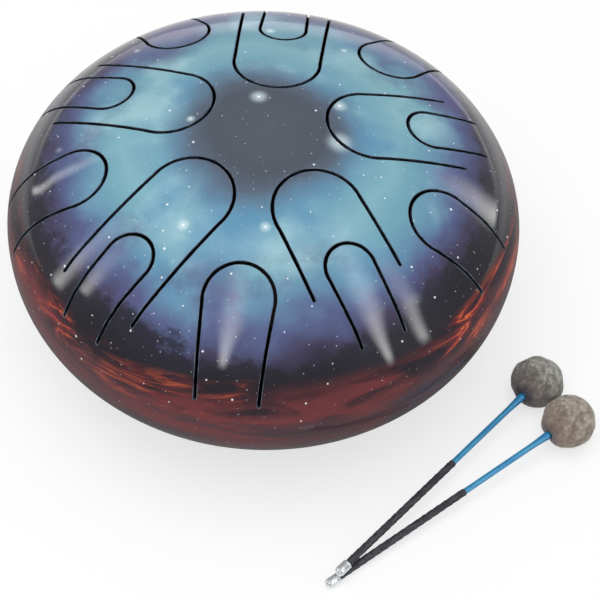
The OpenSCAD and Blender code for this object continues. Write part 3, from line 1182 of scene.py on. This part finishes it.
@dataclass(frozen=True)
class UpperHalf:
    """The upper shell with the tongues cut from it."""

    sheet: DomedSheet
    facets: int = 256
    tongue_pitch: float = 3.4

    def build(self, coats: Coats) -> None:
        """Make the shell and its fifteen tongues."""
        pattern = TonguePattern(self.sheet)
        holes = [self.sheet.ring(self.sheet.drum_r, self.facets)]
        for index in range(5):
            long, nested, outer = (pattern.long(index), pattern.nested(index),
                                   pattern.outer(index))
            holes += [long.hole_outline(nested), outer.hole_outline()]
            outlines = {Tongue.LONG: long.tongue_outline(nested),
                        Tongue.NESTED: nested.tongue_outline(),
                        Tongue.OUTER: outer.tongue_outline()}
            for kind, outline in outlines.items():
                slot = f"{kind.value}_tongue"
                node = f"{slot}_{index + 1}"
                panel = SheetPanel(self.sheet, [outline], self.tongue_pitch)
                settle(panel.build(f"skin_{node}", coats), node, slot, node)
        shell = SheetPanel(self.sheet, holes).build("skin_top_shell", coats)
        settle(shell, "drum", "top_shell", "top_shell")


@dataclass(frozen=True)
class LowerHalf:
    """The lower shell with its sound port, the weld band and the three feet."""

    sheet: DomedSheet
    facets: int = 256
    port_r: float = 30.0
    weld_h: float = 2.0
    foot_count: int = 3
    foot_away: float = 74.0
    # Underside of a foot, from the middle of its dish to the ring that it stands on
    foot_dish: tuple[tuple[float, float], ...] = ((0.0, 0.5), (5.6, 0.5), (6.3, 0.1),
                                                  (6.8, 0.0))
    foot_gap: float = 0.02
    foot_r: float = 11.0
    chamfer: float = 1.5
    neck_r: float = 4.0
    barb_r: float = 6.0
    barb_h: float = 6.0
    neck_gap: float = 0.05

    def _base_z(self, away: float) -> float:
        """Return the height of the shell's outside at a distance from the axis."""
        plan = Vector((self.sheet.run_at_radius(away), 0.0))
        return self.sheet.place(plan)[0].z

    def build(self, coats: Coats, rubber: bpy.types.Material) -> None:
        """Make the shell, the band and the feet."""
        edges = [self.sheet.ring(self.sheet.drum_r, self.facets),
                 self.sheet.ring(self.port_r, 96, lip=0.4)]
        azimuths = [-90 + 360 * index / self.foot_count for index in range(self.foot_count)]
        edges += [self.sheet.hole(self.foot_away, azimuth, self.neck_r + self.neck_gap, 24)
                  for azimuth in azimuths]
        shell = SheetPanel(self.sheet, edges, 4.6).build("skin_bottom_shell", coats)
        settle(shell, "drum", "bottom_shell", "bottom_shell")
        low, wall = self.sheet.edge_z, self.sheet.drum_r - self.sheet.thickness
        band = turned([(wall, low), (self.sheet.drum_r, low),
                       (self.sheet.drum_r, low + self.weld_h), (wall, low + self.weld_h)],
                      self.facets, ring=True)
        settle(laid_down(band, "ground_weld", coats[Coat.OUTSIDE]), "drum", "rim_weld",
               "rim_weld")
        for index, azimuth in enumerate(azimuths):
            foot = self._foot(azimuth, f"rubber_foot_{index + 1}", rubber)
            settle(foot, "drum", "foot", f"foot_{index + 1}")

    def _foot(self, azimuth: float, name: str, rubber: bpy.types.Material) -> bpy.types.Object:
        """Turn one push-in foot: a dished pad, a neck and a barb."""
        away, tall = self.foot_away, 2 * self.sheet.edge_z
        pad = list(self.foot_dish)
        pad += arc((self.foot_r - self.chamfer, self.chamfer), self.chamfer, -88, 0, 5)
        pad += [(self.foot_r, tall)] + run((self.foot_r, tall), (0.0, tall), 5)
        bm = turned(pad, 56)
        for vert in bm.verts:
            if vert.co.z > self.sheet.edge_z:
                vert.co.z = self._base_z(math.hypot(away + vert.co.x, vert.co.y)) - self.foot_gap
        inside = self._base_z(away) + self.sheet.thickness
        barb = turned([(0.0, self.chamfer), (self.neck_r, self.chamfer),
                       (self.neck_r, inside + 0.6), (self.barb_r - 0.4, inside + 0.6),
                       (self.barb_r, inside + 1.0), (self.barb_r, inside + self.barb_h / 2),
                       (self.neck_r, inside + self.barb_h),
                       (0.0, inside + self.barb_h)], 32)
        plug = bpy.data.meshes.new("plug")
        barb.to_mesh(plug)
        barb.free()
        bm.from_mesh(plug)
        bpy.data.meshes.remove(plug)
        turn = math.radians(azimuth)
        place = Matrix.Rotation(turn, 4, "Z") @ Matrix.Translation((away, 0.0, 0.0))
        bmesh.ops.recalc_face_normals(bm, faces=bm.faces)
        return laid_down(bm, name, rubber, place, 30.0)


# ---------------------------------------------------------------- the mallets

@dataclass(frozen=True)
class Mallet:
    """One felt-headed mallet, made upright and then laid on the surface.

    Its own frame has the middle of the end cap's dome at the origin and the handle
    along +Z.
    """

    number: int
    end: tuple[float, float, float]
    heading: float
    tilt: float
    handle_l: float = 190.5
    head_r: float = 17.3
    core_r: float = 11.0
    core_bite: float = 5.0
    proud: float = 0.35
    # Spread and height of the felt's unevenness, from coarse to fine
    swell: tuple[float, float] = (13.0, 2.0)
    knot: tuple[float, float] = (6.0, 0.6)
    crease: tuple[float, float] = (2.6, 0.6)
    nap: tuple[float, float] = (0.9, 0.07)
    sunk: float = 0.6
    hair_count: int = 1500
    hair_l: tuple[float, float] = (1.4, 3.4)
    hair_r: tuple[float, float] = (0.055, 0.018)
    bare_z: float = -0.93
    shaft_r: float = 1.9
    flare: float = 0.8
    flare_l: float = 18.0
    bore_gap: float = 0.05
    grip_r: float = 2.45
    grip_l: float = 98.5
    lap_pitch: float = GripTape.pitch
    lap_rise: float = 0.26
    lap_full: float = 0.93
    tape_end: float = 0.12
    cap_r: float = 3.25
    cap_l: float = 6.7

    @property
    def place(self) -> Matrix:
        """Where the mallet lies."""
        return (Matrix.Translation(self.end)
                @ Matrix.Rotation(math.radians(self.heading), 4, "Z")
                @ Matrix.Rotation(math.radians(90 - self.tilt), 4, "Y"))

    def build(self, felt: bpy.types.Material, enamel: bpy.types.Material,
              tape: bpy.types.Material, steel: bpy.types.Material) -> None:
        """Make the head, shaft, grip and end cap."""
        body = f"mallet_{self.number}"
        head = settle(self._head(felt), body, f"head_{self.number}", f"{body}_head")
        settle(self._shaft(enamel), body, "shaft", f"{body}_shaft")
        settle(self._grip(tape), body, "grip", f"{body}_grip")
        settle(self._cap(steel), body, "cap", f"{body}_cap")

    def _lumps(self, spot: Vector) -> float:
        """Return how far the felt stands proud of a true ball at a place."""
        seed = Vector((7.3, 2.1, 5.7)) * self.number
        curl = spot / self.crease[0] + noise.noise_vector(spot / 4.0 + seed) * 0.9
        proud = (noise.noise(spot / self.swell[0] + seed) * self.swell[1]
                 + noise.noise(spot / self.knot[0] + seed * 2) * self.knot[1]
                 + abs(noise.noise(curl + seed)) * self.crease[1]
                 + noise.noise(spot / self.nap[0] + seed) * self.nap[1] - self.sunk)
        return proud if proud < 0 else self.proud * (1 - math.exp(-proud / self.proud))

    def _head(self, felt: bpy.types.Material) -> bpy.types.Object:
        """Roll the felt ball round its core, with a dimple where the shaft enters."""
        # Without a seed the noise vector follows the clock and each run differs
        noise.seed_set(self.number)
        bore = self.shaft_r + self.bore_gap
        section = [(bore, -self.head_r + 2.2), (bore + 0.7, -self.head_r + 1.7),
                   (bore + 1.6, -self.head_r + 1.35)]
        section += arc((0.0, 0.0), self.head_r, -74, 90, 92)
        section[-1] = (0.0, self.head_r)
        hollow = arc((0.0, 0.0), self.core_r, 90, -79.8, 20)
        hollow[0] = (0.0, self.core_r)
        section += hollow + [(bore, -self.core_r + 0.2)]
        bm = turned(section, 176)
        for vert in bm.verts:
            if vert.co.length > (self.core_r + self.head_r) / 2:
                away = (vert.co.xy.length - bore) / 3.0
                vert.co += vert.co.normalized() * self._lumps(vert.co) * min(1.0, away)
        self._fuzz(bm)
        bmesh.ops.recalc_face_normals(bm, faces=bm.faces)
        place = self.place @ Matrix.Translation((0.0, 0.0, self.handle_l))
        return laid_down(bm, f"felt_head_{self.number}", felt, place, 180.0,
                         lambda spot: Vector((spot.x, spot.y, max(spot.z, 0.05))))

    def _fuzz(self, bm: bmesh.types.BMesh) -> None:
        """Lay loose wool hairs on the ball, but for the patch round the shaft."""
        draw = random.Random(40 + self.number)
        for _ in range(self.hair_count):
            aim = Vector([draw.gauss(0, 1) for _ in range(3)]).normalized()
            if aim.z < self.bare_z:
                continue
            root = aim * (self.head_r + self._lumps(aim * self.head_r) - 0.12)
            side = aim.cross(Vector([draw.gauss(0, 1) for _ in range(3)])).normalized()
            length = draw.uniform(*self.hair_l)
            lie = (side + aim * draw.uniform(-0.02, 0.30)).normalized()
            pose = (Matrix.Translation(root + lie * length / 2)
                    @ lie.to_track_quat("Z", "Y").to_matrix().to_4x4())
            bmesh.ops.create_cone(bm, cap_ends=True, segments=3, radius1=self.hair_r[0],
                                  radius2=self.hair_r[1], depth=length, matrix=pose)

    def _shaft(self, enamel: bpy.types.Material) -> bpy.types.Object:
        """Turn the enamelled rod."""
        top = self.handle_l + self.core_bite
        section = [(0.0, 0.0), (self.shaft_r - 0.2, 0.0), (self.shaft_r, 0.2)]
        section += run((self.shaft_r, 0.2), (self.shaft_r, top - 0.2), 190)
        section += [(self.shaft_r - 0.2, top), (0.0, top)]
        bm = turned(section, 36)
        mouth = self.handle_l - self.head_r
        for vert in bm.verts:
            wave = noise.noise(vert.co / 14.0) * 0.02
            swell = max(0.0, 1 - max(0.0, mouth - vert.co.z) / self.flare_l) ** 2
            sink = max(0.0, min(1.0, (mouth + 1.7 - vert.co.z) / 1.2))
            grow = 1 + min(0.0, wave) + self.flare / self.shaft_r * swell * sink
            vert.co.xy *= grow
        return laid_down(bm, f"enamelled_shaft_{self.number}", enamel, self.place)

    def _grip(self, tape: bpy.types.Material) -> bpy.types.Object:
        """Wind the tape on: each turn climbs onto the edge of the last."""
        low, high = self.cap_l, self.cap_l + self.grip_l
        bore, base = self.shaft_r + self.bore_gap, self.grip_r - self.lap_rise - 0.02
        section = [(bore, low), (base, low)] + run((base, low), (base, high), 262)
        section += [(bore, high)] + run((bore, high), (bore, low), 12)[:-1]
        bm = turned(section, 40, ring=True)
        for vert in bm.verts:
            reach = vert.co.xy.length
            if reach < base - 0.05:
                continue
            turn = math.atan2(vert.co.y, vert.co.x) / (2 * math.pi)
            lap = (vert.co.z / self.lap_pitch - turn + 40.0) % 1.0
            climb = min(lap / self.lap_full, (1.0 - lap) / (1.0 - self.lap_full))
            end = min(vert.co.z - low, high - vert.co.z)
            round_off = math.sqrt(max(0.0, min(1.0, end / 0.5)) * 0.999 + 0.001)
            grow = 1 + (self.lap_rise * climb * round_off
                        - self.tape_end * (1 - round_off)) / reach
            vert.co.xy *= grow
        return laid_down(bm, f"wound_grip_{self.number}", tape, self.place, 60.0)

    def _cap(self, steel: bpy.types.Material) -> bpy.types.Object:
        """Turn the domed end cap with its rolled lip."""
        bore, wall, end = self.shaft_r + self.bore_gap, self.cap_r, self.cap_l
        section = arc((0.0, 0.0), wall, -90, 0, 20)
        section[0] = (0.0, -wall)
        section += [(wall, end - 1.7), (wall - 0.14, end - 1.45), (wall - 0.14, end - 1.15),
                    (wall, end - 0.9)]
        section += arc((wall - 0.35, end - 0.35), 0.35, 0, 90, 6)
        section += [(bore + 0.2, end), (bore, end - 0.2), (bore, 0.0), (0.0, 0.0)]
        bm = turned(section, 64)
        return laid_down(bm, f"domed_cap_{self.number}", steel, self.place)


# ---------------------------------------------------------------- the studio

@dataclass(frozen=True)
class Glint:
    """A soft streak of the room's lamps, as the drum's gloss sees it.

    centre and along are directions at a right angle. The streak reaches half_l either
    way from its centre and bends by bend on the way. width and glow are given at its
    two ends, and it fades out between the two shares of half_l in fade.
    """

    centre: tuple[float, float, float]
    along: tuple[float, float, float]
    half_l: float
    bend: float
    width: tuple[float, float]
    glow: tuple[float, float]
    fade: tuple[float, float] = (0.70, 1.15)

    def shine(self, recipe: Recipe, towards: Signal) -> Signal:
        """Return the streak's brightness in a direction."""
        across = Vector(self.centre).cross(Vector(self.along))
        run = recipe.along(towards, self.along) / self.half_l
        aside = recipe.along(towards, across) - self.bend * (1 - run * run)
        share = run * 0.5 + 0.5
        width, glow = (share * (end - start) + start for start, end in (self.width, self.glow))
        soft = 1 - (abs(aside) / width).step(0.0, 1.0)
        ends = run.band(-1.5, -0.6, *self.fade)
        front = recipe.along(towards, self.centre).step(0.2, 0.3)
        return soft * ends * front * glow


@dataclass(frozen=True)
class Studio:
    """White surface, soft light, glints for the gloss, and the camera."""

    aim_z: float = 0.0925
    floor_half: float = 4.0
    floor_glow: float = 0.68
    floor_tone: Colour = (0.93, 0.93, 0.935, 1.0)
    floor_in_gloss: Colour = (0.20, 0.20, 0.205, 1.0)
    floor_painted_shadow: Colour = (0.10, 0.10, 0.105, 1.0)
    room_light: float = 0.66
    gloss_light: float = 0.24
    back_light: float = 1.2
    lamp_place: tuple[float, float, float] = (-0.25, -0.35, 1.9)
    lamp_aim: tuple[float, float, float] = (0.0, 0.0, 0.1)
    lamp_w: float = 1.8
    lamp_light: float = 2.3
    glints: tuple[Glint, ...] = (
        Glint((-0.184, -0.542, 0.820), (-0.130, -0.814, -0.567), 0.462, 0.011,
              (0.080, 0.040), (4.6, 8.0)),
        Glint((0.710, -0.380, 0.593), (0.323, -0.573, -0.753), 0.573, -0.102,
              (0.090, 0.040), (5.2, 8.5)),
        Glint((0.896, -0.216, 0.388), (0.292, -0.371, -0.882), 0.588, -0.140,
              (0.075, 0.060), (4.0, 7.5), (0.35, 0.80)),
        Glint((0.793, 0.546, 0.270), (0.385, -0.106, -0.917), 0.308, -0.066,
              (0.115, 0.125), (4.2, 5.5), (0.60, 0.94)),
        Glint((-0.757, 0.602, 0.253), (-0.370, -0.077, -0.926), 0.324, 0.094,
              (0.046, 0.038), (3.5, 6.0), (0.45, 0.82)),
        Glint((-0.924, 0.114, 0.366), (-0.383, -0.277, -0.881), 0.480, 0.107,
              (0.080, 0.085), (4.2, 6.2), (0.50, 0.85)),
        Glint((-0.774, -0.001, 0.633), (-0.539, -0.524, -0.660), 0.300, 0.037,
              (0.066, 0.066), (2.6, 6.5)))

    def build(self) -> None:
        """Set up the surface, the light and the camera."""
        bpy.context.scene.view_settings.view_transform = "Standard"
        self._floor()
        self._room()
        self._lamp()
        self._camera()

    def _floor(self) -> None:
        """Lay the plain white surface, which the gloss sees darker beside the drum, with a
        painted shadow under the drum.
        """
        bm = bmesh.new()
        bmesh.ops.create_grid(bm, x_segments=1, y_segments=1, size=self.floor_half)
        mesh = bpy.data.meshes.new("surface")
        bm.to_mesh(mesh)
        bm.free()
        recipe = Recipe("white_surface")
        aside, back, _ = recipe.axes(recipe.place())
        # Painted shadow: a dark round patch under the drum, without the camera's white glow,
        # seen through the sound port.
        under = 1 - ((aside * aside + back * back) ** 0.5).step(0.05, 0.08)
        far = recipe.ray(Ray.LENGTH).step(0.02, 0.08) * (1 - back.step(0.05, 0.40) * 0.9)
        glossy = recipe.ray(Ray.IN_GLOSS) * far
        colour = recipe.mix(glossy, self.floor_tone, self.floor_in_gloss)
        colour = recipe.mix(under, colour, self.floor_painted_shadow)
        matte = recipe.node("ShaderNodeBsdfDiffuse", None, {"Color": colour})
        white = recipe.node("ShaderNodeEmission", None, {"Color": (1.0, 1.0, 1.0, 1.0)})
        mesh.materials.append(recipe.close(recipe.blend(
            recipe.ray(Ray.FROM_CAMERA) * (1 - under) * self.floor_glow, matte, white)))
        shown("surface", mesh)

    def _room(self) -> None:
        """Light the room evenly, with white behind and soft streaks for the gloss."""
        recipe = Recipe("room", room=True)
        towards = recipe.node("ShaderNodeTexCoord", output="Generated")
        _, back, rise = recipe.axes(towards)
        behind = back.step(0.40, 0.85) * (1 - rise.step(0.0, 0.13))
        level = self.gloss_light + behind * self.back_light
        for glint in self.glints:
            level = level + glint.shine(recipe, towards)
        backdrops = [recipe.node("ShaderNodeBackground", None,
                                 {"Color": (1.0, 1.0, 1.0, 1.0), "Strength": strength})
                     for strength in (self.room_light, level, 1.0)]
        soft, glossy, white = backdrops
        shine = recipe.blend(recipe.ray(Ray.IN_GLOSS), soft, glossy)
        recipe.close(recipe.blend(recipe.ray(Ray.FROM_CAMERA), shine, white), "World")
        bpy.context.scene.world = recipe.holder

    def _lamp(self) -> None:
        """Hang the soft box over the drum. Its light of 1 is the white of the surface."""
        lamp = bpy.data.lights.new("soft_box", "AREA")
        lamp.shape, lamp.size = "SQUARE", self.lamp_w
        lamp.energy = self.lamp_light * math.pi * self.lamp_w ** 2
        item = bpy.data.objects.new("soft_box", lamp)
        facing = (Vector(self.lamp_place) - Vector(self.lamp_aim)).normalized()
        side = Vector((0, 1, 0)).cross(facing).normalized()
        item.matrix_world = self._pose(self.lamp_place, side, facing.cross(side), facing)
        item.visible_camera = item.visible_glossy = False
        bpy.context.scene.collection.objects.link(item)

    @staticmethod
    def _pose(place: Sequence[float], *axes: Vector) -> Matrix:
        """Return the pose of a lamp or camera from its place and its own three axes."""
        pose = Matrix(axes).transposed().to_4x4()
        pose.translation = place
        return pose

    def _camera(self, distance: float = 1.11847, height: float = 49.817,
                roll: float = 1.897, lens: float = 103.46,
                shift: tuple[float, float] = (0.06045, -0.14337)) -> None:
        """Set the camera where the photograph was taken from."""
        lift, turn = math.radians(height), math.radians(roll)
        aim = Vector((0, 0, self.aim_z))
        stand = aim + distance * Vector((0, -math.cos(lift), math.sin(lift)))
        ahead = (aim - stand).normalized()
        right = Vector((1, 0, 0))
        up = right.cross(ahead)
        side = math.cos(turn) * right + math.sin(turn) * up
        top = math.cos(turn) * up - math.sin(turn) * right
        data = bpy.data.cameras.new("camera")
        data.lens, data.sensor_width = lens, 36.0
        data.shift_x, data.shift_y = shift
        camera = bpy.data.objects.new("camera", data)
        camera.matrix_world = self._pose(stand, side, top, -ahead)
        bpy.context.scene.collection.objects.link(camera)
        bpy.context.scene.camera = camera


def main() -> None:
    """Build the drum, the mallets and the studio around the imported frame."""
    logging.basicConfig(level=logging.INFO, format="%(message)s")
    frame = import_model()
    Studio().build()
    coats = {Coat.OUTSIDE: NebulaLacquer().make(), Coat.CREST: PaintedCrestHighlight().make(),
             Coat.WALL: SawnWallAndSlotShade().make(), Coat.INSIDE: DarkenedSteel().make()}
    UpperHalf(DomedSheet(165.0, 312.0, 57.0, 92.5)).build(coats)
    LowerHalf(DomedSheet(165.0, 446.75, 73.0, 90.5, -1)).build(coats, FootRubber().make())
    enamel, tape, plate = ShaftEnamel().make(), GripTape().make(), PolishedCap().make()
    grey = RolledFelt("grey_felt", srgb(150, 149, 142), srgb(200, 199, 192),
                      srgb(106, 103, 97), srgb(98, 84, 80), srgb(24, 27, 44)).make()
    beige = RolledFelt("beige_felt", srgb(161, 152, 137), srgb(202, 194, 178),
                       srgb(118, 108, 94), srgb(126, 106, 96), srgb(98, 82, 84)).make()
    Mallet(1, (53.511, -211.589, 10.526), 47.1, 2.038).build(grey, enamel, tape, plate)
    Mallet(2, (47.584, -215.986, 3.25), 36.575, 4.230).build(beige, enamel, tape, plate)
    for number in (1, 2):
        core = frame["nodes"][f"mallet_{number}_core"]
        core.data.materials.clear()
        core.data.materials.append(CoreRubber().make())


if __name__ == "__main__":
    main()
